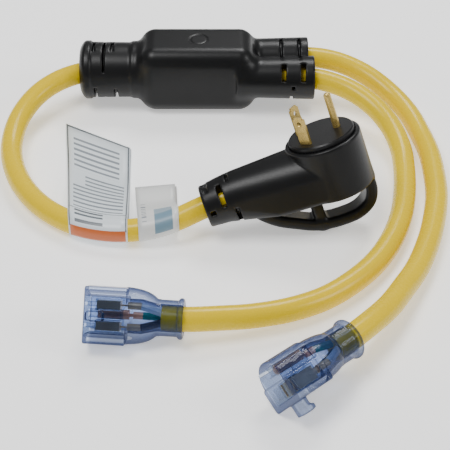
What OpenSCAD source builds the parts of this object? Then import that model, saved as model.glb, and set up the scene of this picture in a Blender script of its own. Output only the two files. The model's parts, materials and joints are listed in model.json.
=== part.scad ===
// Y-shaped power adapter: a right-angle travel-trailer plug with a pull handle, a moulded
// junction box and two clear household socket ends, joined by three round cords.
// Millimetres. Origin: middle of the junction's underside, on the surface everything lies on.
// +X runs along the junction from the single inlet towards the two outlets, +Z is up.

/* [Cords] */
// Outside diameter of all three cords
cord_d = 15.2; // [13:0.1:15.4]

/* [Junction] */
// Length of the box part of the cover
box_len = 84; // [80:0.5:88]
// Depth of the box part, across the outlets
box_depth = 47; // [44:0.5:50]
// Height of the box part
box_height = 52; // [50:0.5:52]
// Rounding of the box edges
box_round = 11; // [6:0.5:12]
// Overall length, from the inlet's end to the outlets' ends
junction_len = 172; // [168:0.5:174]
// Radius of the single inlet tube
inlet_r = 20; // [19:0.1:21]
// Radius of each outlet tube
outlet_r = 14.6; // [14:0.1:15.5]
// Distance between the two outlet tubes' axes
outlet_pitch = 26; // [26:0.1:27]

/* [Plug] */
// Radius of the plug's face
face_r = 25; // [24:0.1:26]
// Height of the plug's body under its face
body_h = 36; // [34:0.1:37]
// Distance from the body's axis to the cord entry
entry_len = 86; // [84:0.5:90]
// Outside radius at the cord entry
entry_r = 13.8; // [13:0.1:14]
// How far the ground pin stands out of the insert
ground_len = 24; // [22:0.1:25]
// Radius of the ground pin
ground_r = 2.4; // [2.3:0.01:2.5]
// How far the blades stand out of the insert
blade_len = 18.6; // [17:0.1:20]

/* [Socket ends] */
// Length of a socket end from its face to its rear ring
socket_len = 58; // [56:0.5:62]
// Height of a socket end's body across the two slots
socket_h = 34; // [33:0.1:34]
// Radius of the round ground hole
ground_hole_r = 2.6; // [2.5:0.01:2.7]

/* [Hidden] */
$fn = 48;

cord_r = cord_d / 2;
wire_r = 2.3;
lay_r = 3;
gap = 0.15;
root_r = ground_r - 0.2;

// Routes of the three cords, from inside one end piece to inside the other.
main_route = [
  [-56, 0, 26], [-69.5, -0.5, 26], [-84, -3.5, 25.5], [-98.5, -10, 24], [-111, -20, 21.5],
  [-120.5, -33, 18], [-127, -50, 14], [-129, -70.5, 10], [-125.5, -92, 8.5], [-117, -114, 8],
  [-104, -134, 8], [-87.5, -149.5, 8], [-68.5, -160, 8.5], [-48.5, -165, 9.5],
  [-28.5, -165, 12], [-10.5, -161.5, 16], [8, -155, 21.5], [25, -151.5, 26.5]
];
branch_a_route = [
  [56, -12.5, 27.5], [74, -13, 28], [93.5, -16.5, 27], [112, -24.5, 24], [127.5, -37.5, 19.5],
  [138.5, -55, 14.5], [144, -75.5, 10.5], [144.5, -97.5, 8.5], [142, -124, 8],
  [137, -148.5, 8], [128.5, -172, 8], [116.5, -193.5, 8], [100.5, -212.5, 8.5],
  [82, -228, 9], [60.5, -240, 11], [38, -247, 12.5], [18, -251, 14.5],
  [-1.5, -253.2, 15.6], [-16.1, -251.9, 15.6]
];
branch_b_route = [
  [56, 12.5, 27.5], [73.5, 14, 28], [93.5, 13.5, 27], [111.5, 9, 24], [128.5, -0.5, 19.5],
  [143.5, -15, 14], [154.5, -34, 10], [160.5, -56, 8], [164, -79, 8], [164.5, -104, 8],
  [163, -128, 8], [158, -153, 8], [151.5, -175.5, 8.5], [142, -200, 9.5], [131, -221, 12],
  [119.5, -242, 16], [107.2, -259, 19.5], [94, -273.8, 21.3], [83.3, -282.7, 21.3]
];

// Junction places
junction_x0 = -junction_len / 2;
junction_x1 = junction_len / 2;
box_x = 1.5;
inlet_z = 26;
outlet_z = 27.5;

splice_len = 18;
splice_r = 5.5;
hot_z = 14;
ground_wire_z = 26;
neutral_z = 38;

// Plug pose: middle of the face's rim, then roll, pitch and yaw
plug_at = [82.9, -134.8, 62.8];
plug_turn = [16.3, 16.3, -168.8];
entry_h = -18.8;
insert_r = 21.8;
insert_h = 3.3;
blade_x = 11.3;
blade_y = 10.4;
ground_x = -11.1;
handle_w = 17;

// Socket end poses: middle of the face, then roll and yaw; local +X runs from the face to the cord
socket_a_at = [-60.9, -248, 15.6];
socket_a_turn = [-130, 0, -5];
socket_b_at = [48.9, -311.7, 21.3];
socket_b_turn = [-58, 0, 40.1];
slot_y = 6.35;
collar_r = 10.9;
slot_z = -4.7;
ground_z = 7.2;
block_len = 24.8;
pocket_y = 11.2;
pocket_z = 10.2;
carrier_len = 21;

// ---- helpers ----

// Unit vector of v
function unit(v) = v / norm(v);

// Direction of a route at point i
function along(p, i) =
  unit(p[min(i + 1, len(p) - 1)] - p[max(i - 1, 0)]);

// Round tube through the points of a route; side is any direction that the route never follows
module tube(p, r, sides = 10, side = [0, 0, 1]) {
  rings = len(p);
  pts = [
    for (i = [0:rings - 1])
      let (d = along(p, i), u = unit(cross(d, side)), v = cross(d, u))
        for (k = [0:sides - 1])
          p[i] + r * (cos(360 * k / sides) * u + sin(360 * k / sides) * v)
  ];
  walls = [
    for (i = [0:rings - 2]) for (k = [0:sides - 1])
      let (n = (k + 1) % sides)
        [i * sides + k, i * sides + n, (i + 1) * sides + n, (i + 1) * sides + k]
  ];
  first = [for (k = [0:sides - 1]) sides - 1 - k];
  last = [for (k = [0:sides - 1]) (rings - 1) * sides + k];
  polyhedron(points = pts, faces = concat([first], walls, [last]), convexity = 6);
}

// Flat rounded rectangle, centred
module rounded_rect(w, h, r) {
  square([w - 2 * r, h], center = true);
  square([w, h - 2 * r], center = true);
  for (x = [-1, 1], y = [-1, 1]) translate([x * (w / 2 - r), y * (h / 2 - r)]) circle(r);
}

// Cylinder along +X from x0 to x1
module rod_x(x0, x1, r, r_end = undef) {
  translate([x0, 0, 0]) rotate([0, 90, 0]) cylinder(h = x1 - x0, r1 = r, r2 = r_end == undef ? r : r_end);
}

// Places children in the plug's frame
module at_plug() {
  translate(plug_at) rotate(plug_turn) children();
}

// Places children in one socket end's frame
module at_socket(place, turn) {
  translate(place) rotate([0, 0, turn[2]]) rotate([turn[0], 0, 0]) children();
}

// ---- junction ----

// Box rounded in all three directions
module junction_box(shrink = 0) {
  l = box_len - 2 * shrink;
  d = box_depth - 2 * shrink;
  h = box_height - 2 * shrink;
  r = max(box_round - shrink, 2);
  translate([box_x, 0, box_height / 2]) intersection() {
    rotate([90, 0, 90]) linear_extrude(l, center = true) rounded_rect(d, h, r);
    rotate([90, 0, 0]) linear_extrude(d, center = true) rounded_rect(l, h, r);
    linear_extrude(h, center = true) rounded_rect(l, d, r);
  }
}

// Staggered slots that let a strain relief flex: half rings cut from one side of a tube
module relief_slots(r, wall, places) {
  for (s = places) rotate([s[1], 0, 0]) intersection() {
    translate([s[0], 0, 0]) rotate([0, 90, 0]) difference() {
      cylinder(h = 1.9, r = r + 2, center = true);
      cylinder(h = 4, r = r - wall, center = true);
    }
    translate([s[0], 0, r]) cube([6, 1.35 * r, 1.5 * r], center = true);
  }
}

module junction_cover() {
  color("#17181a") difference() {
    union() {
      junction_box();
      translate([0, 0, inlet_z]) {
        rod_x(junction_x0 + 4, -30, inlet_r);
        rod_x(junction_x0 + 3, junction_x0 + 8, inlet_r + 1);
        rod_x(junction_x0, junction_x0 + 3.01, inlet_r - 3, inlet_r + 1);
        rod_x(-46, -38, inlet_r + 1.2);
      }
      translate([0, 0, outlet_z]) {
        for (s = [-1, 1]) translate([0, s * outlet_pitch / 2, 0]) rod_x(30, junction_x1, outlet_r);
        translate([30, -6, -11]) cube([junction_x1 - 32, 12, 22]);
      }
    }
    junction_box(5);
    translate([0, 0, inlet_z]) {
      rod_x(-58.01, -30, 8.6);
      rod_x(junction_x0 - 0.01, -58, 12.6, 8.6);
      relief_slots(inlet_r, 5, [
        [-67.2, 30], [-67.2, -150], [-74.6, 0], [-73.6, 165], [-61.2, 0], [-58.6, 165]
      ]);
    }
    for (s = [-1, 1]) translate([0, s * outlet_pitch / 2, outlet_z]) {
      rod_x(30, 54.01, 9.2);
      rod_x(54, junction_x1 + 0.01, 9.2, 11.2);
      relief_slots(outlet_r, 6, [[63.6, s * -44], [77.6, s * -44]]);
      relief_slots(outlet_r, 3, [[69.6, 170]]);
    }
    translate([box_x, 0, box_height - 0.5]) difference() {
      cylinder(h = 1, r = 6);
      translate([0, 0, -1]) cylinder(h = 3, r = 5);
    }
  }
}

// Hollow inner housing that keeps the splices apart from the cover
module splice_housing() {
  color("#3a3c40") difference() {
    junction_box(5.2);
    junction_box(8);
    translate([0, 0, inlet_z]) rod_x(-60, 0, 7);
    for (s = [-1, 1]) translate([0, s * outlet_pitch / 2, outlet_z]) rod_x(0, 60, 7);
  }
}

// Crimped sleeve that joins one conductor of the main cord to the same one of both branches
module splice(z) {
  color("silver") translate([0, 0, z]) difference() {
    rod_x(-splice_len / 2, splice_len / 2, splice_r);
    rod_x(-splice_len / 2 - 1, splice_len / 2 + 1, splice_r - 0.7);
  }
}

// One circuit in the junction: from the main cord into the sleeve, and on to both branches
module junction_wire(z, turn) {
  lay = lay_r * [0, sin(turn), cos(turn)];
  start = main_route[0] + lay;
  tube([start, start + [14, 0, 0], [-20, 0, z], [-1, 0, z]], wire_r, 8);
  for (s = [-1, 1]) {
    finish = (s < 0 ? branch_a_route : branch_b_route)[0] + lay;
    beside = s * (wire_r + 0.05);
    tube([[0, beside, z], [13, beside, z], finish - [14, 0, 0], finish], wire_r, 8);
  }
}

// ---- plug ----

// Handle outline in the plug's middle plane
module handle_outline() {
  hull() {
    translate([-19, -30]) circle(3);
    translate([-9.5, -49]) circle(12);
    translate([15, -49]) circle(11.5);
    translate([40, -38]) circle(10);
    translate([58, -27]) circle(5);
    translate([50, -20]) circle(4);
  }
}

// The two finger openings of the handle
module finger_openings() {
  hull() {
    translate([-11.5, -37.6]) circle(1.5);
    translate([-5.5, -45]) circle(7);
    translate([12.5, -50.5]) circle(1.5);
    translate([13, -37.6]) circle(1.5);
  }
  hull() {
    translate([22.5, -37.6]) circle(1.5);
    translate([22.5, -49.5]) circle(1.5);
    translate([37, -37.6]) circle(1.5);
  }
}

module plug_body() {
  color("#17181a") at_plug() difference() {
    union() {
      rotate_extrude() {
        translate([0, -body_h]) square([face_r, body_h - 2]);
        translate([0, -3]) square([face_r - 2, 3]);
        translate([face_r - 2, -2]) circle(2);
      }
      hull() {
        translate([0, 0, -body_h]) cylinder(h = body_h - 1.5, r = face_r - 0.6);
        translate([64, 0, entry_h]) rod_x(0, 4, entry_r);
      }
      translate([0, 0, entry_h]) {
        rod_x(60, entry_len - 1, entry_r);
        rod_x(entry_len - 1.01, entry_len, entry_r, entry_r - 1);
      }
      rotate([90, 0, 0]) linear_extrude(handle_w, center = true) difference() {
        handle_outline();
        finger_openings();
      }
    }
    translate([0, 0, -9]) cylinder(h = 10, r = insert_r + gap);
    translate([0, 0, -28]) cylinder(h = 20, r = 18);
    translate([0, 0, entry_h]) {
      rod_x(0, entry_len + 1, 8.2);
      rod_x(entry_len - 6, entry_len + 0.01, 8.2, 9.6);
      relief_slots(entry_r, 4, [[73.2, 54], [73.2, -54], [81, 180], [66.5, 128], [66.5, -128]]);
    }
  }
}

// Flat disc that carries the three contacts
module plug_insert() {
  color("#202124") at_plug() difference() {
    union() {
      translate([0, 0, -8.9]) cylinder(h = 8.9 + insert_h - 0.8, r = insert_r);
      translate([0, 0, insert_h - 0.81]) cylinder(h = 0.81, r1 = insert_r, r2 = insert_r - 0.8);
    }
    for (s = [-1, 1]) translate([blade_x, s * blade_y, -10]) rotate([0, 0, s * 45])
      translate([-1.0, -4.25, 0]) cube([2.0, 8.5, 20]);
    translate([ground_x, 0, -10]) cylinder(h = 20, r = root_r + 0.05);
    translate([ground_x, 0, insert_h - 1]) cylinder(h = 2, r = ground_r + 0.1);
  }
}

// Flat blade with a locating hole near its tip, at 45 degrees to the plug's middle plane
module blade(side) {
  color("#c9a24a") at_plug() translate([blade_x, side * blade_y, 0]) rotate([0, 0, side * 45])
    rotate([90, 0, 90]) linear_extrude(1.6, center = true) difference() {
      union() {
        translate([-4.1, -14]) square([8.2, 14 + insert_h + blade_len - 1.5]);
        translate([-2.8, 0]) square([5.6, insert_h + blade_len]);
      }
      translate([0, insert_h + blade_len - 4.6]) circle(1.7);
    }
}

module ground_pin() {
  color("#c9a24a") at_plug() translate([ground_x, 0, 0]) {
    translate([0, 0, -14]) cylinder(h = 14.1 + insert_h, r = root_r);
    translate([0, 0, insert_h]) cylinder(h = ground_len - ground_r, r = ground_r);
    translate([0, 0, insert_h + ground_len - ground_r]) sphere(ground_r);
  }
}

crimp_places = [[blade_x, blade_y], [blade_x, -blade_y], [ground_x, 0]];

// Crimp barrels under the blades and the pin
module plug_crimps() {
  color("silver") at_plug() for (c = crimp_places)
    translate([c[0], c[1], -20]) difference() {
      cylinder(h = 5.9, r = 3.1);
      translate([0, 0, -1]) cylinder(h = 5, r = wire_r + 0.1);
    }
}

// One conductor in the plug, from the cord's end up into its crimp barrel
module plug_wire(i, turn) {
  c = crimp_places[i];
  y = lay_r * sin(turn);
  z = entry_h + lay_r * cos(turn);
  at_plug() tube([
    [67.9, y, z], [45, y, z], [c[0] + 12, c[1], -24.3], [c[0] + 4, c[1], -24.8],
    [c[0] + 0.8, c[1], -23], [c[0], c[1], -19.5], [c[0], c[1], -16.5]
  ], wire_r, 8, [0, 1, 0]);
}

// ---- socket ends ----

// Cross-section of the block, seen from the face: flat-sided round the slots, round at the ground
module block_section() {
  intersection() {
    circle(14.4);
    translate([-15, -1]) square([30, 14.2]);
  }
  translate([0, -6.25]) rounded_rect(socket_h, 15.5, 2.2);
}

// Lies along +X, with local Y across the two slots and local Z towards the ground hole
module along_x(x0, x1) {
  translate([x0, 0, 0]) rotate([90, 0, 90]) linear_extrude(x1 - x0) children();
}

// Half height and half width of the bell behind the block, at distances from the face
bell = [[block_len, 16.8, 13.4], [30, 16.2, 13.2], [34, 15, 12.8], [38, 13.2, 12.1], [41, 11.9, 11.4]];

module socket_form() {
  along_x(0, block_len) block_section();
  hull() {
    for (b = bell) along_x(b[0] - 0.01, b[0]) resize([2 * b[1], 2 * b[2]]) circle(16, $fn = 40);
    rod_x(42.5, 43.5, collar_r);
  }
  rod_x(43, socket_len, collar_r);
  rod_x(socket_len - 3.2, socket_len, 12.4);
  socket_tab();
}

// Tab on the flat side, with a small foot at its rear
module socket_tab() {
  translate([2.2, -2.5, -22]) cube([8.5, 5, 9.5]);
  translate([9.5, -2.5, -22]) cube([4.2, 5, 3]);
  rotate([90, 0, 0]) linear_extrude(5, center = true)
    polygon([[10.5, -20], [13.9, -13], [10.5, -13]]);
}

module socket_shell(place, turn) {
  color("#8fb0e0", 0.5) at_socket(place, turn) difference() {
    socket_form();
    translate([-1, -pocket_y, -pocket_z]) cube([25.5, 2 * pocket_y, 2 * pocket_z]);
    rod_x(24, 33, 10.6);
    rod_x(32.99, 42, 10.6, cord_r + 0.6);
    rod_x(41.9, socket_len + 1, cord_r + 0.6);
  }
}

// Inner block with the two slots, the ground hole and the pockets for the contacts
module socket_carrier(place, turn) {
  color("#b7cdef", 0.6) at_socket(place, turn) difference() {
    translate([0, gap - pocket_y, gap - pocket_z])
      cube([carrier_len, 2 * (pocket_y - gap), 2 * (pocket_z - gap)]);
    for (s = [-1, 1]) translate([0, s * slot_y, slot_z]) {
      slot_h = s > 0 ? 7.2 : 8.8;
      translate([-1, -1.1, -slot_h / 2]) cube([8, 2.2, slot_h]);
      translate([6.4, -3.4, -4.7]) cube([20, 6.8, 9.4]);
    }
    translate([0, 0, ground_z]) {
      rod_x(-1, 5.4, ground_hole_r);
      rod_x(5.39, 25, 3.1);
    }
  }
}

// Blade contact of two leaves folded up from a base, with a crimp barrel on its tail
module socket_contact(place, turn, side) {
  color("#c9a24a") at_socket(place, turn) translate([0, side * slot_y, slot_z]) {
    for (s = [-1, 1]) translate([7, s * 2 - 0.4, -3.8]) cube([14, 0.8, 7.6]);
    translate([7, -2.4, -4.5]) cube([14, 4.8, 0.8]);
    translate([20, -2.4, -3.8]) cube([1, 4.8, 7.6]);
    translate([20.5, -0.5, -1]) cube([5, 1, 2]);
    rod_x(25, 33, 2.2);
  }
}

// Round ground contact, with its strip and crimp barrel
module socket_ground(place, turn) {
  color("#b87333") at_socket(place, turn) translate([0, 0, ground_z]) {
    difference() {
      rod_x(5.6, 24.5, 2.95);
      rod_x(5, 22.5, ground_hole_r - 0.2);
    }
    translate([24, -1, -2]) cube([3.5, 2, 1.2]);
    translate([0, 0, -1.4]) rod_x(27, 33, 2.2);
  }
}

// One conductor in a socket end, from its contact's crimp barrel to the cord's end
module socket_wire(place, turn, y, z, roll) {
  at_socket(place, turn) tube([
    [33.05, y, z], [37, y * 0.85, z * 0.85], [45.7, lay_r * sin(roll), lay_r * cos(roll)]
  ], wire_r, 8, [0, 1, 0]);
}

// ---- tags ----

// Thin strip that drapes over a cord and lies beside it: profile points, thickness and width
module strip(place, yaw, profile, thick, width) {
  n = len(profile);
  outline = concat(
    profile,
    [for (i = [n - 1:-1:0]) profile[i] + [0, thick]]
  );
  translate(place) rotate([0, 0, yaw]) rotate([90, 0, 0])
    linear_extrude(width, center = true) polygon(outline);
}

module care_tag() {
  color("white") strip([-67, -161, 0], 93, [
    [-11, 9], [-8.5, 15], [-4, 18.2], [3, 18.2], [9, 13.5], [16, 7.5], [28, 3.5],
    [60, 3], [90, 5], [118, 12]
  ], 0.8, 42);
}

module maker_flag() {
  color("#e3e6ea") strip([-21, -163.5, 0], 97, [
    [-11, 14], [-8, 20], [-3, 22.4], [4, 21.5], [10, 16], [20, 9], [54, 4]
  ], 0.8, 25);
}

// ---- assembly ----

junction_cover();
splice_housing();
splice(hot_z);  // splice_hot
splice(neutral_z);  // splice_neutral
splice(ground_wire_z);  // splice_ground
color("black") junction_wire(hot_z, 180);  // junction_wire_hot
color("white") junction_wire(neutral_z, -60);  // junction_wire_neutral
color("green") junction_wire(ground_wire_z, 60);  // junction_wire_ground
plug_body();
plug_insert();
blade(1);  // blade_hot
blade(-1);  // blade_neutral
ground_pin();
plug_crimps();
color("black") plug_wire(0, 60);  // plug_wire_hot
color("white") plug_wire(1, -60);  // plug_wire_neutral
color("green") plug_wire(2, 180);  // plug_wire_ground
socket_shell(socket_a_at, socket_a_turn);  // socket_a_shell
socket_carrier(socket_a_at, socket_a_turn);  // socket_a_carrier
socket_contact(socket_a_at, socket_a_turn, 1);  // socket_a_contact_hot
socket_contact(socket_a_at, socket_a_turn, -1);  // socket_a_contact_neutral
socket_ground(socket_a_at, socket_a_turn);  // socket_a_contact_ground
color("black") socket_wire(socket_a_at, socket_a_turn, slot_y, slot_z, 120);  // socket_a_wire_hot
color("white") socket_wire(socket_a_at, socket_a_turn, -slot_y, slot_z, 240);  // socket_a_wire_neutral
color("green") socket_wire(socket_a_at, socket_a_turn, 0, ground_z - 1.4, 0);  // socket_a_wire_ground
socket_shell(socket_b_at, socket_b_turn);  // socket_b_shell
socket_carrier(socket_b_at, socket_b_turn);  // socket_b_carrier
socket_contact(socket_b_at, socket_b_turn, 1);  // socket_b_contact_hot
socket_contact(socket_b_at, socket_b_turn, -1);  // socket_b_contact_neutral
socket_ground(socket_b_at, socket_b_turn);  // socket_b_contact_ground
color("black") socket_wire(socket_b_at, socket_b_turn, slot_y, slot_z, 120);  // socket_b_wire_hot
color("white") socket_wire(socket_b_at, socket_b_turn, -slot_y, slot_z, 240);  // socket_b_wire_neutral
color("green") socket_wire(socket_b_at, socket_b_turn, 0, ground_z - 1.4, 0);  // socket_b_wire_ground
color("#e6c800") tube(main_route, cord_r);  // main_cord
color("#e6c800") tube(branch_a_route, cord_r);  // branch_cord_a
color("#e6c800") tube(branch_b_route, cord_r);  // branch_cord_b
care_tag();
maker_flag();
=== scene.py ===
"""Looks of a Y-shaped power adapter: cords, moulded black parts, clear blue socket ends and tags."""
import json
import math

import bmesh
import bpy
import numpy as np
from mathutils import Matrix, Vector


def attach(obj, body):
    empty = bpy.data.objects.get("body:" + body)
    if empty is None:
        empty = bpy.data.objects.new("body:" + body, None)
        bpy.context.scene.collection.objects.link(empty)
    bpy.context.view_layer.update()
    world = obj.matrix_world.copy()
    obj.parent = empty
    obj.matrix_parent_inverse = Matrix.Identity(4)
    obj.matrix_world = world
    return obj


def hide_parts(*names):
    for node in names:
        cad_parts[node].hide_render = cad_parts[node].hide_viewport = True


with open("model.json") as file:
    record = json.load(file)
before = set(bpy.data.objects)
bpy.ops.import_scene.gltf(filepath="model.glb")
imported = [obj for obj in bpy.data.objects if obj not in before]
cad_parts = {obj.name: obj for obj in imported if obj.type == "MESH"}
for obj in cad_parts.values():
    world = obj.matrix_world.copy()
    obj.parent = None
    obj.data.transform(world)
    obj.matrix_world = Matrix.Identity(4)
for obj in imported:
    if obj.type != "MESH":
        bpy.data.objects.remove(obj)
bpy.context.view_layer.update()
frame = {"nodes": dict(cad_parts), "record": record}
MM = 0.001
FAR_AWAY = 1e9

# ---- places shared with the CAD model, in metres and degrees ----

CORD_D = 0.0152
CORD_R = CORD_D / 2
MAIN_ROUTE = [
    (-.056, 0, .026), (-.0695, -.0005, .026), (-.084, -.0035, .0255), (-.0985, -.010, .024),
    (-.111, -.020, .0215), (-.1205, -.033, .018), (-.127, -.050, .014), (-.129, -.0705, .010),
    (-.1255, -.092, .0085), (-.117, -.114, .008), (-.104, -.134, .008), (-.0875, -.1495, .008),
    (-.0685, -.160, .0085), (-.0485, -.165, .0095), (-.0285, -.165, .012), (-.0105, -.1615, .016),
    (.008, -.155, .0215), (.025, -.1515, .0265),
]
BRANCH_A_ROUTE = [
    (.056, -.0125, .0275), (.074, -.013, .028), (.0935, -.0165, .027), (.112, -.0245, .024),
    (.1275, -.0375, .0195), (.1385, -.055, .0145), (.144, -.0755, .0105), (.1445, -.0975, .0085),
    (.142, -.124, .008), (.137, -.1485, .008), (.1285, -.172, .008), (.1165, -.1935, .008),
    (.1005, -.2125, .0085), (.082, -.228, .009), (.0605, -.240, .011), (.038, -.247, .0125),
    (.018, -.251, .0145), (-.0015, -.2532, .0156), (-.0161, -.2519, .0156),
]
BRANCH_B_ROUTE = [
    (.056, .0125, .0275), (.0735, .014, .028), (.0935, .0135, .027), (.1115, .009, .024),
    (.1285, -.0005, .0195), (.1435, -.015, .014), (.1545, -.034, .010), (.1605, -.056, .008),
    (.164, -.079, .008), (.1645, -.104, .008), (.163, -.128, .008), (.158, -.153, .008),
    (.1515, -.1755, .0085), (.142, -.200, .0095), (.131, -.221, .012), (.1195, -.242, .016),
    (.1072, -.259, .0195), (.094, -.2738, .0213), (.0833, -.2827, .0213),
]
PLUG_AT = (.0829, -.1348, .0628)
PLUG_TURN = (16.3, 16.3, -168.8)
SOCKETS = {
    "a": {"at": (-.0609, -.248, .0156), "roll": -130, "yaw": -5},
    "b": {"at": (.0489, -.3117, .0213), "roll": -58, "yaw": 40.1},
}


def turned(x, y, z):
    """Rotation that turns about X, then Y, then Z, in degrees."""
    rx = Matrix.Rotation(math.radians(x), 4, "X")
    ry = Matrix.Rotation(math.radians(y), 4, "Y")
    rz = Matrix.Rotation(math.radians(z), 4, "Z")
    return rz @ ry @ rx


PLUG_PLACE = Matrix.Translation(PLUG_AT) @ turned(*PLUG_TURN)


def socket_place(name):
    """Place of a socket end in the frame."""
    s = SOCKETS[name]
    return Matrix.Translation(s["at"]) @ turned(0, 0, s["yaw"]) @ turned(s["roll"], 0, 0)


# ---- camera, light and floor ----

LENS_MM, SENSOR_MM = 101.54, 36
CAMERA_AT, CAMERA_TILT = (.0211, -.7923, .5408), 50
NEAREST_SEEN = 0.05
WORLD_STRENGTH = 0.30
LIT_POINT = (0.02, -0.12, 0.02)
# Name, place, side of the square in metres and power in watts
LIGHTS = [
    ("key", (-0.45, -0.35, 1.3), 0.55, 13),
    ("back", (0.25, 0.75, 1.2), 0.5, 12),
    ("side", (1.1, -0.4, 0.8), 0.4, 5),
]
FLOOR_HALF = 4.0
FLOOR_GREY, FLOOR_ROUGH, FLOOR_GLOW = 0.92, 0.7, 0.55


def make_camera():
    """Camera at the viewing angle, looking along +Y and down."""
    data = bpy.data.cameras.new("camera")
    data.lens = LENS_MM
    data.sensor_width = SENSOR_MM
    data.clip_start = NEAREST_SEEN
    camera = bpy.data.objects.new("camera", data)
    camera.location = CAMERA_AT
    camera.rotation_euler = (math.radians(CAMERA_TILT), 0, 0)
    bpy.context.scene.collection.objects.link(camera)
    bpy.context.scene.camera = camera


def area_light(name, place, size, power):
    """Square light at place, aimed at the middle of the layout."""
    data = bpy.data.lights.new(name, "AREA")
    data.shape = "SQUARE"
    data.size = size
    data.energy = power
    light = bpy.data.objects.new(name, data)
    light.location = place
    aim = Vector(LIT_POINT) - Vector(place)
    light.rotation_euler = aim.to_track_quat("-Z", "Y").to_euler()
    bpy.context.scene.collection.objects.link(light)


def make_stage():
    """White surroundings, three lights and a square floor."""
    world = bpy.data.worlds.new("studio")
    bpy.context.scene.world = world
    world.use_nodes = True
    background = world.node_tree.nodes["Background"]
    background.inputs["Color"].default_value = (1, 1, 1, 1)
    background.inputs["Strength"].default_value = WORLD_STRENGTH
    for light in LIGHTS:
        area_light(*light)
    mesh = bpy.data.meshes.new("floor")
    corners = [(FLOOR_HALF * x, FLOOR_HALF * y, 0) for x, y in ((-1, -1), (1, -1), (1, 1), (-1, 1))]
    mesh.from_pydata(corners, [], [(0, 1, 2, 3)])
    floor = bpy.data.objects.new("floor", mesh)
    bpy.context.scene.collection.objects.link(floor)
    floor.data.materials.append(floor_material())


# ---- materials ----

def new_material(name):
    """(material, its nodes, its links, its Principled shader)."""
    material = bpy.data.materials.new(name)
    material.use_nodes = True
    tree = material.node_tree
    return material, tree.nodes, tree.links, tree.nodes["Principled BSDF"]


def noise(nodes, links, scale, detail=3.0, place=None):
    """Noise texture in the piece's own metres."""
    texture = nodes.new("ShaderNodeTexNoise")
    texture.inputs["Scale"].default_value = scale
    texture.inputs["Detail"].default_value = detail
    if place is None:
        place = nodes.new("ShaderNodeTexCoord").outputs["Object"]
    links.new(place, texture.inputs["Vector"])
    return texture.outputs["Fac"]


def spread(nodes, links, value, low, high):
    """value from 0 to 1, mapped to low to high."""
    node = nodes.new("ShaderNodeMapRange")
    node.inputs["To Min"].default_value = low
    node.inputs["To Max"].default_value = high
    links.new(value, node.inputs["Value"])
    return node.outputs["Result"]


def between(nodes, links, factor, one, other):
    """A colour that goes from one to other as factor goes from 0 to 1."""
    node = nodes.new("ShaderNodeMix")
    node.data_type = "RGBA"
    for socket, colour in ((node.inputs[6], one), (node.inputs[7], other)):
        if isinstance(colour, tuple):
            socket.default_value = (*colour, 1)
        else:
            links.new(colour, socket)
    if isinstance(factor, float):
        node.inputs[0].default_value = factor
    else:
        links.new(factor, node.inputs[0])
    return node.outputs[2]


def bumped(nodes, links, shader, height, strength, distance):
    """Gives the shader a relief of distance metres from height."""
    node = nodes.new("ShaderNodeBump")
    node.inputs["Strength"].default_value = strength
    node.inputs["Distance"].default_value = distance
    links.new(height, node.inputs["Height"])
    links.new(node.outputs["Normal"], shader.inputs["Normal"])


GRAIN_DEPTH, COAT_ROUGH = 0.0002, 0.2


def surface_material(name, low, high, rough, scale=60.0, grain=900.0, bump=0.1, metal=0.0,
                     coat=0.0, shine=0.4):
    """Material whose colour drifts between low and high, with a fine grain in gloss and height."""
    material, nodes, links, shader = new_material(name)
    drift = noise(nodes, links, scale)
    fine = noise(nodes, links, grain, 2.0)
    links.new(between(nodes, links, drift, low, high), shader.inputs["Base Color"])
    links.new(spread(nodes, links, fine, *rough), shader.inputs["Roughness"])
    bumped(nodes, links, shader, fine, bump, GRAIN_DEPTH)
    shader.inputs["Metallic"].default_value = metal
    shader.inputs["Coat Weight"].default_value = coat
    shader.inputs["Coat Roughness"].default_value = COAT_ROUGH
    shader.inputs["Specular IOR Level"].default_value = shine
    return material


def floor_material():
    """Plain pale studio floor that glows a little, so that it stays pale."""
    material, _, _, shader = new_material("floor")
    shader.inputs["Base Color"].default_value = (FLOOR_GREY, FLOOR_GREY, FLOOR_GREY, 1)
    shader.inputs["Roughness"].default_value = FLOOR_ROUGH
    shader.inputs["Emission Color"].default_value = (1, 1, 1, 1)
    shader.inputs["Emission Strength"].default_value = FLOOR_GLOW
    return material


CLEAR_ROUGH, RIPPLE_SCALE, RIPPLE_DEPTH = (.04, .10), 120.0, 0.0006


def clear_material(name, tint, body, solid):
    """Tinted clear plastic. tint, body and solid are (facing, edge) pairs.

    tint colours what is seen through it, body colours the plastic itself, and solid is body's share.
    """
    material, nodes, links, shader = new_material(name)
    weight = nodes.new("ShaderNodeLayerWeight")
    weight.inputs["Blend"].default_value = 0.4
    drift = noise(nodes, links, RIPPLE_SCALE)
    facing = weight.outputs["Facing"]
    links.new(between(nodes, links, facing, *body), shader.inputs["Base Color"])
    links.new(spread(nodes, links, drift, *CLEAR_ROUGH), shader.inputs["Roughness"])
    bumped(nodes, links, shader, drift, 0.35, RIPPLE_DEPTH)
    clear = nodes.new("ShaderNodeBsdfTransparent")
    links.new(between(nodes, links, facing, *tint), clear.inputs["Color"])
    mix = nodes.new("ShaderNodeMixShader")
    links.new(spread(nodes, links, facing, *solid), mix.inputs["Fac"])
    links.new(clear.outputs["BSDF"], mix.inputs[1])
    links.new(shader.outputs["BSDF"], mix.inputs[2])
    links.new(mix.outputs["Shader"], nodes["Material Output"].inputs["Surface"])
    return material


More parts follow.
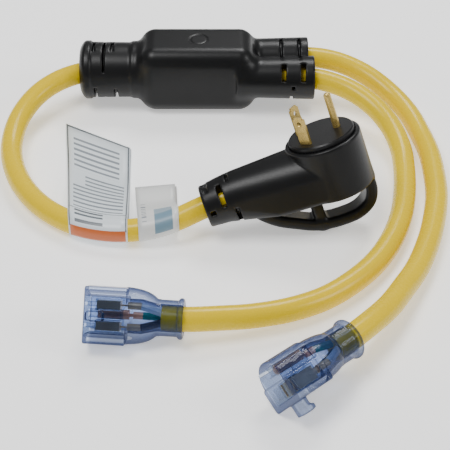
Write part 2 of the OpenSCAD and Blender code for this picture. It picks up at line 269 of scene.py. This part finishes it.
def make_materials():
    """The materials by the names of the record's material slots, and a paler brass for the contacts."""
    return {
        "black_plastic": surface_material(
            "black_plastic", (.003, .0032, .0035), (.007, .0072, .008), (.30, .42), bump=.14, shine=.28
        ),
        "grey_plastic": surface_material("grey_plastic", (.04, .04, .045), (.06, .06, .07), (.5, .6)),
        "yellow_jacket": surface_material(
            "yellow_jacket", (.72, .50, 0), (.80, .57, 0), (.22, .32), 40, 500, .06, coat=.10, shine=.2
        ),
        "brass": surface_material(
            "brass", (.50, .35, .09), (.68, .50, .17), (.22, .34), 300, 2500, .1, metal=.7
        ),
        "contact_brass": surface_material(
            "contact_brass", (.74, .50, .20), (.90, .68, .34), (.24, .36), 300, 2500, .1, metal=.35
        ),
        "copper": surface_material(
            "copper", (.86, .36, .18), (.96, .52, .30), (.22, .36), 300, 2500, .1, metal=.3
        ),
        "tinned_metal": surface_material(
            "tinned_metal", (.62, .62, .60), (.75, .75, .73), (.25, .4), 300, 2500, .1, metal=1.0
        ),
        "black_insulation": surface_material(
            "black_insulation", (.008, .008, .012), (.02, .02, .03), (.3, .4)
        ),
        "white_insulation": surface_material(
            "white_insulation", (.66, .78, .86), (.76, .86, .92), (.35, .45)
        ),
        "green_insulation": surface_material(
            "green_insulation", (.005, .22, .17), (.01, .30, .23), (.3, .4)
        ),
        "clear_blue_plastic": clear_material(
            "clear_blue_plastic", ((.77, .83, .95), (.05, .09, .28)), ((.04, .07, .18), (.01, .02, .08)),
            (.05, .70),
        ),
        "clear_plastic": clear_material(
            "clear_plastic", ((.94, .96, .99), (.34, .44, .62)), ((.30, .36, .44), (.32, .40, .52)),
            (.04, .42),
        ),
    }


# ---- solid shapes as distance fields in millimetres, meshed on a grid ----

def rounded_box(p, centre, half, r):
    """Box from its centre and half sizes, its edges rounded by r."""
    q = np.abs(p - np.array(centre)) - (np.array(half) - r)
    return np.linalg.norm(np.maximum(q, 0), axis=1) + np.minimum(q.max(axis=1), 0) - r


def rod(p, x0, x1, r, y=0.0, z=0.0, edge=0.5):
    """Cylinder along X with rounded ends. r is a number or one radius per point."""
    d = np.hypot(p[:, 1] - y, p[:, 2] - z) - (r - edge)
    e = np.abs(p[:, 0] - (x0 + x1) / 2) - ((x1 - x0) / 2 - edge)
    outside = np.hypot(np.maximum(d, 0), np.maximum(e, 0))
    return outside + np.minimum(np.maximum(d, e), 0) - edge


def join(a, b, k):
    """Union of two fields with a fillet of about k."""
    h = np.clip(0.5 + 0.5 * (b - a) / k, 0, 1)
    return b * (1 - h) + a * h - k * h * (1 - h)


def cut(a, b, k=0.6):
    """a without b, with its edge rounded by about k."""
    return -join(-a, b, k)


def groove(p, axis, x, wide, turn, arc, r, deep):
    """Cut round a tube along X, centred at x. turn is 0 on top and 90 towards -Y; arc in degrees."""
    y, z = p[:, 1] - axis[0], p[:, 2] - axis[1]
    angle = np.degrees(np.arctan2(-y, z)) - turn
    angle = np.abs((angle + 180) % 360 - 180)
    ends = (angle - arc / 2) * math.radians(r)
    sides = np.abs(p[:, 0] - x) - wide / 2
    corner = np.hypot(np.maximum(sides + 0.5, 0), np.maximum(ends + 0.5, 0)) - 0.5
    opening = corner + np.minimum(np.maximum(sides + 0.5, ends + 0.5), 0)
    return np.maximum(opening, r - deep - np.hypot(y, z))


SETTLE_TIMES = 3
CORNERS = [(x, y, z) for x in (0, 1) for y in (0, 1) for z in (0, 1)]
EDGES = [(a, b) for a in CORNERS for b in CORNERS if a < b and sum(np.abs(np.subtract(a, b))) == 1]


def field_mesh(field, low, high, step):
    """(vertices, quads) of the surface where field is zero, between the corners low and high."""
    low = np.array(low, float) - 2 * step
    count = [int(math.ceil(v)) for v in (np.array(high) + 2 * step - low) / step]
    axes = [low[i] + step * np.arange(count[i] + 1) for i in range(3)]
    values = np.empty([len(a) for a in axes])
    across = np.stack(np.meshgrid(axes[1], axes[2], indexing="ij"), axis=-1).reshape(-1, 2)
    for i, x in enumerate(axes[0]):
        points = np.column_stack([np.full(len(across), x), across])
        values[i] = field(points).reshape(values.shape[1:])
    inside = values < 0
    filled = sum(
        inside[a:a + count[0], b:b + count[1], c:c + count[2]].astype(int) for a, b, c in CORNERS
    )
    mixed = (filled > 0) & (filled < 8)
    number = np.full(mixed.shape, -1)
    number[mixed] = np.arange(mixed.sum())
    cells = np.argwhere(mixed)
    total, hits = np.zeros((len(cells), 3)), np.zeros(len(cells))
    for a, b in EDGES:
        va, vb = values[tuple((cells + a).T)], values[tuple((cells + b).T)]
        crossed = (va < 0) != (vb < 0)
        share = np.where(crossed, va / np.where(crossed, va - vb, 1), 0)
        total += crossed[:, None] * (np.array(a) + share[:, None] * np.subtract(b, a))
        hits += crossed
    vertices = low + step * (cells + total / hits[:, None])
    quads = []
    no_step = np.zeros(3, int)
    for d in range(3):
        ahead = np.roll([1, 0, 0], d)
        side, up = np.roll([0, 1, 0], d), np.roll([0, 0, 1], d)
        here = np.argwhere(np.diff(inside.astype(int), axis=d) != 0)
        here = here[(here[:, (d + 1) % 3] > 0) & (here[:, (d + 2) % 3] > 0)]
        ring = [number[tuple((here - o).T)] for o in (side + up, up, no_step, side)]
        quad = np.stack(ring, axis=1)
        solid_here = inside[tuple(here.T)] & ~inside[tuple((here + ahead).T)]
        quad[~solid_here] = quad[~solid_here][:, ::-1]
        quads.append(quad)
    for _ in range(SETTLE_TIMES):
        vertices = settle(field, vertices, step)
    return vertices, np.concatenate(quads)


def settle(field, vertices, step):
    """Moves each vertex onto the surface, at most half a step."""
    reach = 0.05
    here = field(vertices)
    slope = np.stack(
        [(field(vertices + reach * unit) - here) / reach for unit in np.eye(3)], axis=1
    )
    steep = np.maximum((slope ** 2).sum(axis=1), 0.05)
    move = slope * (here / steep)[:, None]
    far = np.linalg.norm(move, axis=1)
    scale = np.minimum(1, 0.5 * step / np.maximum(far, 1e-9))
    return vertices - move * scale[:, None]


def mesh_piece(name, vertices, faces, material, place=None):
    """A piece with smooth faces from vertices in millimetres."""
    mesh = bpy.data.meshes.new(name)
    mesh.from_pydata((np.array(vertices) * MM).tolist(), [], [list(map(int, f)) for f in faces])
    mesh.validate()
    if place is not None:
        mesh.transform(place)
    mesh.shade_smooth()
    mesh.materials.append(material)
    piece = bpy.data.objects.new(name, mesh)
    bpy.context.scene.collection.objects.link(piece)
    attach(piece, "root")
    return piece


def field_piece(name, field, low, high, step, material, place=None):
    """A piece with the surface of field, meshed between the corners low and high."""
    vertices, quads = field_mesh(field, low, high, step)
    return mesh_piece(name, vertices, quads, material, place)


# ---- junction ----

BOX_X, BOX_HALF, BOX_MID, BOX_ROUND = 0.8, (43, 23.5, 26), 26, 11.5
# How much narrower and shorter the box is at its foot, as shares
FOOT_NARROWER, FOOT_SHORTER = 0.11, 0.05
INLET_AXIS, NEAR_AXIS, FAR_AXIS = (0, 26), (-13, 27.5), (13, 27.5)
INLET_X, NEAR_X, FAR_X = -85, 86, 82.4
INLET_R, INLET_TAPER, COLLAR_STEP_R = 20.0, 0.012, 20.9
END_RING_R, END_BEVEL, END_BEVEL_LEN = 21.4, 5.0, 4.5
OUTLET_R, OUTLET_FLARE, OUTLET_FLARE_LEN = 14.7, 1.1, 40
# Radius of a cord's bore and how much it widens from MOUTH_X over MOUTH_LEN
INLET_BORE, OUTLET_BORE = (8.4, 3.8), (9.0, 2.0)
MOUTH_X, MOUTH_LEN = 60, 26
# The faint round mark on top: its middle's x, radius and half thickness
MARK_X, MARK_R, MARK_HALF = 2, 6.2, 0.55
# Relief slots: x, width, turn, arc and depth, as in groove
INLET_GROOVES = [
    (-74.6, 1.9, 0, 34, 2.4), (-61.2, 2.4, 0, 34, 2.4), (-67.2, 1.7, 12, 104, 5.0),
    (-73.6, 2.0, 148, 100, 3.4), (-58.6, 2.6, 150, 96, 3.4), (-67.2, 1.7, -168, 104, 5.0),
]
NEAR_GROOVES = [
    (63.6, 3.3, 44, 52, 8), (77.6, 3.3, 43, 56, 8), (69.6, 2.4, 165, 90, 2.6), (70.6, 2.4, 88, 10, 8),
    (63.6, 3.3, -162, 50, 8), (77.6, 3.3, -162, 50, 8),
]
FAR_GROOVES = [
    (62.4, 1.9, 22, 76, 2.8), (75.6, 1.9, 22, 76, 2.8), (62.4, 3.3, -100, 50, 8),
    (75.6, 3.3, -100, 50, 8), (69, 2.4, -165, 60, 2.6),
]


def junction_field(p):
    """Box with an inlet tube, a joined pair of outlet tubes, their bores and relief slots, and a mark."""
    x = p[:, 0]
    below = np.clip((BOX_MID - p[:, 2]) / BOX_MID, -0.7, 1) ** 2
    drawn = np.column_stack([x, p[:, 1] / (1 - FOOT_NARROWER * below), p[:, 2]])
    drawn[:, 0] = BOX_X + (x - BOX_X) / (1 - FOOT_SHORTER * below)
    cover = rounded_box(drawn, (BOX_X, 0, BOX_MID), BOX_HALF, BOX_ROUND)
    inlet = rod(p, INLET_X + 6, -30, INLET_R - (x + 40) * INLET_TAPER, *INLET_AXIS, 1.0)
    bevel = np.clip((INLET_X + END_BEVEL_LEN - x) / END_BEVEL_LEN, 0, 1) ** 1.8
    ring_r = END_RING_R - END_BEVEL * bevel
    inlet = join(inlet, rod(p, INLET_X, -77, ring_r, *INLET_AXIS, 0.8), 1.2)
    inlet = join(inlet, rod(p, -47.5, -39, COLLAR_STEP_R, *INLET_AXIS, 1.6), 2.0)
    cover = join(cover, inlet, 4.0)
    flare = OUTLET_R + OUTLET_FLARE * np.clip((x - 45) / OUTLET_FLARE_LEN, 0, 1)
    near = rod(p, 30, NEAR_X, flare, *NEAR_AXIS, 1.0)
    far = rod(p, 30, FAR_X, flare, *FAR_AXIS, 1.0)
    cover = join(cover, join(near, far, 2.4), 6.0)
    mouth = np.clip((-MOUTH_X - x) / MOUTH_LEN, 0, 1)
    cover = cut(cover, rod(p, -92, -48, INLET_BORE[0] + INLET_BORE[1] * mouth, *INLET_AXIS), 1.0)
    mouth = np.clip((x - MOUTH_X) / MOUTH_LEN, 0, 1)
    for axis in (NEAR_AXIS, FAR_AXIS):
        cover = cut(cover, rod(p, 48, 92, OUTLET_BORE[0] + OUTLET_BORE[1] * mouth, *axis), 0.8)
    for axis, r, grooves in (
        (INLET_AXIS, 20.4, INLET_GROOVES), (NEAR_AXIS, 15.3, NEAR_GROOVES),
        (FAR_AXIS, 15.3, FAR_GROOVES),
    ):
        for at, wide, turn, arc, deep in grooves:
            slot = groove(p, axis, at, wide, turn, arc, r, deep)
            other = FAR_AXIS if axis == NEAR_AXIS else NEAR_AXIS
            if axis != INLET_AXIS:
                slot = np.maximum(slot, 14.2 - np.hypot(p[:, 1] - other[0], p[:, 2] - other[1]))
            cover = cut(cover, slot, 0.4)
    across = np.hypot(x - MARK_X, p[:, 1])
    mark = np.hypot(across - MARK_R, (p[:, 2] - 2 * BOX_MID) * 1.2) - MARK_HALF
    return cut(cover, mark, 0.3)


def make_junction(materials):
    """The junction's moulded cover."""
    cover = field_piece(
        "junction_cover_moulding", junction_field, (-86, -28, 0), (86, 28, 52), 0.85,
        materials["black_plastic"],
    )
    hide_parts("junction_cover")


# ---- plug ----

FACE_R, BODY_H, BODY_ROUND, SEAT_R, SEAT_DEEP = 25, 36, 1.4, 21.9, 8.5
# The entry is the neck's end: its distance from the body's axis, its height and its radius
ENTRY_A, ENTRY_H, ENTRY_R = 86, -18.8, 13.8
NECK_HALF, NECK_FOOT, NECK_FOOT_ROUND = 24.6, -36, 3.5
# Sections of the handle and its post: half thickness, half width and rounding
HANDLE_BAR, POST_BAR = (3.9, 8.6, 2.6), (3.9, 7.6, 2.2)
# Middle lines of the handle and its post, as x and z
HANDLE_LINE = [
    (-19.5, -29), (-20.2, -37), (-19.6, -45.5), (-15.6, -52.6), (-7, -57.1), (4, -57.8),
    (14, -56.9), (23, -54.6), (33, -49.5), (43, -43.8), (51.5, -36.4), (58, -28),
]
POST_LINE = [(17.6, -34), (17.2, -57)]
# Relief slots of the neck: x, width, turn, arc and depth, as in groove
PLUG_GROOVES = [
    (73.2, 3.2, -54, 60, 8), (81.4, 3.5, -92, 14, 8), (82, 3.4, 0, 64, 1.5), (66.5, 2.2, 0, 50, 1.4),
    (81, 3.0, 180, 56, 1.6), (66, 2.6, -128, 66, 3.4), (73.2, 3.2, 54, 60, 8), (66, 2.6, 128, 66, 3.4),
]


def filled_line(points, parts):
    """The points of a smooth line through points, with parts segments between neighbours."""
    knots = np.array(points, float)
    slopes = np.gradient(knots, axis=0)
    out = []
    for a, b, sa, sb in zip(knots[:-1], knots[1:], slopes[:-1], slopes[1:]):
        for t in np.arange(parts) / parts:
            out.append(
                (2 * t ** 3 - 3 * t ** 2 + 1) * a + (t ** 3 - 2 * t ** 2 + t) * sa
                + (3 * t ** 2 - 2 * t ** 3) * b + (t ** 3 - t ** 2) * sb
            )
    return out + [knots[-1]]


def line_distance(u, v, points):
    """Distance in a plane from each (u, v) to a chain of segments."""
    best = np.full(len(u), FAR_AWAY)
    for (au, av), (bu, bv) in zip(points[:-1], points[1:]):
        du, dv = bu - au, bv - av
        t = np.clip(((u - au) * du + (v - av) * dv) / (du * du + dv * dv), 0, 1)
        best = np.minimum(best, np.hypot(u - au - t * du, v - av - t * dv))
    return best


def strap(p, points, half_thick, half_wide, r):
    """Bar of rectangular section along a chain of points in the local X-Z plane."""
    d = line_distance(p[:, 0], p[:, 2], points) - (half_thick - r)
    e = np.abs(p[:, 1]) - (half_wide - r)
    outside = np.hypot(np.maximum(d, 0), np.maximum(e, 0))
    return outside + np.minimum(np.maximum(d, e), 0) - r


def neck_field(p):
    """Neck from the body to the cord entry: a half cone on top of a straight-sided trough."""
    x, y, z = p[:, 0], np.abs(p[:, 1]), p[:, 2]
    along = np.clip(x / ENTRY_A, 0, 1)
    half_w = NECK_HALF - (NECK_HALF - ENTRY_R) * along ** 0.92
    top = -1.0 - 1.5 * along - 2.5 * np.clip((along - 0.72) / 0.28, 0, 1) ** 1.5
    low = NECK_FOOT + 3.4 * np.clip((along - 0.4) / 0.6, 0, 1)
    mid, half_h = (top + low) / 2, (top - low) / 2
    slope = 1.86 + 0.14 * along
    cone = (y / half_w) ** slope + (np.abs(z - mid) / half_h) ** slope
    cone = (cone ** (1 / slope) - 1) * np.minimum(half_w, half_h)
    to_round = np.clip((along - 0.5) / 0.35, 0, 1)
    r = NECK_FOOT_ROUND + (np.minimum(half_w, half_h) - NECK_FOOT_ROUND) * to_round
    u, v = y - (half_w - r), (mid - z) - (half_h - r)
    trough = np.hypot(np.maximum(u, 0), np.maximum(v, 0)) + np.minimum(np.maximum(u, v), 0) - r
    section = np.where(z > mid, cone, trough)
    return -join(-section, ENTRY_A / 2 - np.abs(x - ENTRY_A / 2), 1.6)


def plug_field(p):
    """Round body with the neck, the pull handle with its post, the insert's seat and the cord's bore."""
    x, y, z = p[:, 0], p[:, 1], p[:, 2]
    d = np.hypot(x, y) - (FACE_R - BODY_ROUND)
    e = np.abs(z + BODY_H / 2) - (BODY_H / 2 - BODY_ROUND)
    body = np.hypot(np.maximum(d, 0), np.maximum(e, 0)) + np.minimum(np.maximum(d, e), 0) - BODY_ROUND
    body = join(body, neck_field(p), 0.35)
    handle = strap(p, filled_line(HANDLE_LINE, 4), *HANDLE_BAR)
    handle = join(handle, strap(p, POST_LINE, *POST_BAR), 2.0)
    body = join(body, handle, 2.2)
    body = cut(body, np.maximum(np.hypot(x, y) - SEAT_R, np.abs(z) - SEAT_DEEP), 0.3)
    bore_r = 8.0 + 1.8 * np.clip((x - 80) / 6, 0, 1)
    body = cut(body, rod(p, 30, 95, bore_r, 0, ENTRY_H), 0.6)
    for at, wide, turn, arc, deep in PLUG_GROOVES:
        slot = groove(p, (0, ENTRY_H), at, wide, turn, arc, ENTRY_R + 1.2, deep + 1.2)
        body = cut(body, slot, 0.4)
    return body


def make_plug(materials):
    """The plug's moulded body with its handle."""
    body = field_piece(
        "plug_body_moulding", plug_field, (-27, -27, -64), (88, 27, 2), 0.8,
        materials["black_plastic"], PLUG_PLACE,
    )
    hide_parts("plug_body")


# ---- socket ends ----

BLOCK_X, COLLAR_R, FLANGE_R, SOCKET_X = 24.8, 10.9, 12.4, 58
FLAT_HALF, FLAT_MID_Z, ARCH_R = (9, 16.9, 7.75), -6.25, 14.4
# Half width and half height of the bell at the block, its length, and the share left at its far end
BELL_WIDE, BELL_HIGH, BELL_LEN, BELL_LEFT = 17.0, 13.6, 18.5, 0.374
# Middle and half size of the tab and of the foot at its rear
TAB, FOOT = ((6.8, 0, -16.7), (4.6, 2.6, 5.2)), ((9.4, 0, -20.3), (4.2, 2.6, 1.6))
POCKET = (9.5, 0, 0), (15, 11.2, 10.2)
ROOM_R, ROOM_NARROWS = 10.4, 2.2


def socket_outside(p):
    """Block with a flat and a round side, bell, collar, rear ring and hooked tab."""
    x, y, z = p[:, 0], p[:, 1], p[:, 2]
    ends = np.abs(x - BLOCK_X / 2) - BLOCK_X / 2
    in_section = np.column_stack([np.zeros_like(x), y, z - FLAT_MID_Z])
    flat = rounded_box(in_section, (0, 0, 0), FLAT_HALF, 2.0)
    arch = np.maximum(np.hypot(y, z) - ARCH_R, -z - 1)
    section = join(flat, arch, 0.5)
    block = -join(-section, -ends, 0.7)
    t = np.clip((x - BLOCK_X + 1) / BELL_LEN, 0, 1)
    swell = np.sqrt(np.maximum(1 - 0.86 * t * t, 0))
    half_w = COLLAR_R + (BELL_WIDE - COLLAR_R) * (swell - BELL_LEFT) / (1 - BELL_LEFT)
    half_h = COLLAR_R + (BELL_HIGH - COLLAR_R) * (swell - BELL_LEFT) / (1 - BELL_LEFT)
    bell = (np.hypot(y / half_w, z / half_h) - 1) * np.minimum(half_w, half_h)
    bell = np.maximum(bell, np.abs(x - 33.5) - 10)
    shell = join(join(block, bell, 0.8), rod(p, 40, SOCKET_X - 1, COLLAR_R), 1.0)
    shell = join(shell, rod(p, SOCKET_X - 3.4, SOCKET_X, FLANGE_R, edge=1.6), 0.8)
    tab = join(rounded_box(p, *TAB, 0.9), rounded_box(p, *FOOT, 1.0), 1.6)
    return join(shell, tab, 1.0)


def socket_field(p):
    """The shell, hollow for its carrier, its wires and the cord."""
    pocket = rounded_box(p, *POCKET, 0.5)
    room = rod(p, 20, 62, ROOM_R - ROOM_NARROWS * np.clip((p[:, 0] - 33) / 9, 0, 1))
    return cut(socket_outside(p), np.minimum(pocket, room), 0.3)


def make_sockets(materials):
    """The two clear shells."""
    for name in SOCKETS:
        piece = field_piece(
            f"socket_{name}_moulding", socket_field, (0, -17.5, -22), (60, 17.5, 15), 0.6,
            materials["clear_blue_plastic"], socket_place(name),
        )
        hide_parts(f"socket_{name}_shell")


# ---- cords ----

CORD_BEVEL_STEPS, CORD_LENGTH_STEPS = 10, 10


def smooth_line(points):
    """Bezier curve through the points, its tangent at each one parallel to its neighbours' chord."""
    curve = bpy.data.curves.new("line", "CURVE")
    curve.dimensions = "3D"
    spline = curve.splines.new("BEZIER")
    last = len(points) - 1
    spline.bezier_points.add(last)
    for i, point in enumerate(points):
        before, after = points[max(i - 1, 0)], points[min(i + 1, last)]
        tangent = (Vector(after) - Vector(before)) / (2 if 0 < i < last else 1)
        knot = spline.bezier_points[i]
        knot.handle_left_type = knot.handle_right_type = "FREE"
        knot.co = point
        knot.handle_left = Vector(point) - tangent / 3
        knot.handle_right = Vector(point) + tangent / 3
    return curve


def cord_piece(name, route, material):
    """A round cord along the route."""
    curve = smooth_line(route)
    curve.name = name
    curve.bevel_depth = CORD_R
    curve.bevel_resolution = CORD_BEVEL_STEPS
    curve.resolution_u = CORD_LENGTH_STEPS
    curve.use_fill_caps = True
    curve.materials.append(material)
    piece = bpy.data.objects.new(name, curve)
    bpy.context.scene.collection.objects.link(piece)
    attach(piece, "root")
    return piece


def make_cords(materials):
    """The three cords, by their short names."""
    cords = {}
    for name, node, route in (
        ("main", "main_cord", MAIN_ROUTE), ("branch_a", "branch_cord_a", BRANCH_A_ROUTE),
        ("branch_b", "branch_cord_b", BRANCH_B_ROUTE),
    ):
        cords[name] = cord_piece(f"{name}_jacket", route, materials["yellow_jacket"])
        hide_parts(node)
    return cords


# ---- tags ----

# near is the x range of a tag at the cord, far its two outer corners, end the height of its upper
# layer at the outer end, and fan how far its lower layer shows beside the upper one there
TAGS = {
    "care_tag": {
        "near": (-.0812, -.0425), "far": ((-.0950, -.0355), (-.0462, -.0660)), "end": .0022,
        "fan": .0006,
    },
    "maker_flag": {
        "near": (-.0345, -.0092), "far": ((-.0404, -.1117), (-.0132, -.1084)), "end": .003,
        "fan": .001,
    },
}
WRAP_R, SHEET_T = .0081, .0003
# The tags are on the stretch of the main cord that lies nearer than this
NEAR_SIDE_Y = -.12
TAG_COLUMNS = 9


def cord_at(x):
    """(point on the main cord's axis at x, on its near side, and the cord's direction there)."""
    line = np.array(filled_line(MAIN_ROUTE, 12))
    lower = line[line[:, 1] < NEAR_SIDE_Y]
    i = int(np.argmin(np.abs(lower[:, 0] - x)))
    i = min(max(i, 1), len(lower) - 2)
    return Vector(lower[i]), Vector(lower[i + 1] - lower[i - 1]).normalized()


def tag_profile(length, height, stretch, end, wave):
    """(distance from the cord's axis, z) along a strip that goes round the cord and back over it."""
    under = [(length * t, .0008 + .0006 * t) for t in (1, .8, .6, .4, .25, .12)]
    turn = [math.radians(a) for a in range(270, 50, -12)]
    around = [
        (stretch * WRAP_R * math.cos(a), max(height + WRAP_R * math.sin(a), .0004)) for a in turn
    ]
    leave_s, leave_z = around[-1]
    over = []
    for t in (.06, .12, .2, .3, .4, .5, .6, .7, .8, .9, 1):
        drop = max(1 - t / .75, 0) ** 1.6
        rise = wave * math.sin(t * 9) * (1 - drop)
        s = leave_s + (length - leave_s) * t
        over.append((s, max(end + rise + (leave_z - end) * drop, .0016)))
    return under, around, over


def tag_columns(shape):
    """Points of a folded strip, one column for each of TAG_COLUMNS lines along it."""
    columns = []
    for u in np.linspace(0, 1, TAG_COLUMNS):
        on_cord, tangent = cord_at(shape["near"][0] + (shape["near"][1] - shape["near"][0]) * u)
        near = on_cord.xy
        far = Vector(shape["far"][0]).lerp(Vector(shape["far"][1]), u)
        way = (far - near).normalized()
        stretch = 1 / abs(way.x * tangent.y - way.y * tangent.x)
        under, around, over = tag_profile(
            (far - near).length, on_cord.z, stretch, shape["end"], .0009 * (1 + u)
        )
        spread_out = Vector((way.y, -way.x)) * shape["fan"]
        column = [near + way * s + spread_out * (s / under[0][0]) for s, z in under]
        column += [near + way * s for s, z in around + over]
        heights = [z for s, z in under + around + over]
        columns.append([(v.x, v.y, z) for v, z in zip(column, heights)])
    return columns


def tag_piece(name, shape, material):
    """A folded strip round the main cord, with its length and width as UV coordinates for the print."""
    columns = tag_columns(shape)
    rows = len(columns[0])
    vertices = [point for column in columns for point in column]
    faces = [
        (i * rows + j, i * rows + j + 1, (i + 1) * rows + j + 1, (i + 1) * rows + j)
        for i in range(TAG_COLUMNS - 1) for j in range(rows - 1)
    ]
    mesh = bpy.data.meshes.new(name)
    mesh.from_pydata(vertices, [], faces)
    layer = mesh.uv_layers.new(name="print")
    middle = columns[TAG_COLUMNS // 2]
    steps = [math.dist(middle[j], middle[j + 1]) for j in range(rows - 1)]
    reach = np.concatenate([[0], np.cumsum(steps)])
    for face in mesh.polygons:
        for corner in face.loop_indices:
            column, row = divmod(mesh.loops[corner].vertex_index, rows)
            layer.data[corner].uv = (column / (TAG_COLUMNS - 1), reach[row] / reach[-1])
    solid = bmesh.new()
    solid.from_mesh(mesh)
    bmesh.ops.recalc_face_normals(solid, faces=solid.faces)
    bmesh.ops.solidify(solid, geom=solid.faces, thickness=SHEET_T)
    solid.to_mesh(mesh)
    solid.free()
    mesh.shade_smooth()
    mesh.materials.append(material)
    piece = bpy.data.objects.new(name, mesh)
    bpy.context.scene.collection.objects.link(piece)
    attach(piece, "root")
    return piece


def step_mask(nodes, links, value, low, high):
    """1 where value lies between low and high."""
    above = nodes.new("ShaderNodeMath")
    above.operation = "GREATER_THAN"
    above.inputs[1].default_value = low
    links.new(value, above.inputs[0])
    under = nodes.new("ShaderNodeMath")
    under.operation = "LESS_THAN"
    under.inputs[1].default_value = high
    links.new(value, under.inputs[0])
    return product(nodes, links, above.outputs[0], under.outputs[0])


def product(nodes, links, one, other):
    """one times other, each a number or an output."""
    node = nodes.new("ShaderNodeMath")
    node.operation = "MULTIPLY"
    for value, socket in zip((one, other), node.inputs):
        if isinstance(value, float):
            socket.default_value = value
        else:
            links.new(value, socket)
    return node.outputs[0]


def repeated(nodes, links, value, times):
    """The fraction of value times a number."""
    node = nodes.new("ShaderNodeMath")
    node.operation = "FRACT"
    links.new(product(nodes, links, value, times), node.inputs[0])
    return node.outputs[0]


def printed_material(name, paper, blocks):
    """Sheet with plain print. blocks: (lines, from, to, left, right, colour), from 0 to 1."""
    material, nodes, links, shader = new_material(name)
    place = nodes.new("ShaderNodeTexCoord").outputs["UV"]
    split = nodes.new("ShaderNodeSeparateXYZ")
    links.new(place, split.inputs["Vector"])
    across, along = split.outputs["X"], split.outputs["Y"]
    drift = noise(nodes, links, 25.0)
    colour = between(nodes, links, drift, paper, tuple(c * 0.86 for c in paper))
    for lines, start, stop, left, right, ink in blocks:
        block = product(
            nodes, links, step_mask(nodes, links, along, start, stop),
            step_mask(nodes, links, across, left, right),
        )
        if lines:
            rows = repeated(nodes, links, along, lines)
            block = product(nodes, links, block, step_mask(nodes, links, rows, .25, .66))
        colour = between(nodes, links, block, colour, ink)
    links.new(colour, shader.inputs["Base Color"])
    links.new(spread(nodes, links, drift, .28, .42), shader.inputs["Roughness"])
    bumped(nodes, links, shader, drift, .5, .001)
    return material


def make_tags():
    """The two tags, with plain bars, bands and patches for print."""
    border, ink, orange = (.12, .14, .16), (.22, .25, .28), (.56, .13, .03)
    badge = (.16, .26, .34)
    care = printed_material(
        "care_print", (.74, .80, .84),
        [
            (0, .484, .518, .03, .97, orange), (44.0, .522, .585, .12, .60, border),
            (0, .588, .591, .03, .97, border), (44.0, .60, .72, .10, .92, ink),
            (44.0, .73, .80, .30, .92, ink), (44.0, .81, .96, .12, .84, ink),
            (0, .515, 1, .015, .035, border), (0, .515, 1, .965, .985, border),
            (0, .990, .997, .015, .985, border),
        ],
    )
    flag = printed_material(
        "flag_print", (.72, .73, .72), [(26.0, .56, .86, .10, .22, ink), (0, .49, .76, .42, .84, badge)]
    )
    tags = {}
    for name, material in (("care_tag", care), ("maker_flag", flag)):
        tags[name] = tag_piece(f"{name}_sheet", TAGS[name], material)
        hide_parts(name)
    return tags


# ---- CAD nodes that keep their own shape ----

def dress_nodes(materials):
    """Gives each CAD node the material of its slot."""
    slots = {s["node"]: s["material_slot"] for s in frame["record"]["subparts"]}
    for node, piece in frame["nodes"].items():
        slot = slots[node]
        if slot in materials:
            inside = slot == "brass" and node.startswith("socket_")
            piece.data.materials.clear()
            piece.data.materials.append(materials["contact_brass" if inside else slot])


make_camera()
make_stage()
materials = make_materials()
cords = make_cords(materials)
dress_nodes(materials)
make_junction(materials)
make_plug(materials)
make_sockets(materials)
tags = make_tags()
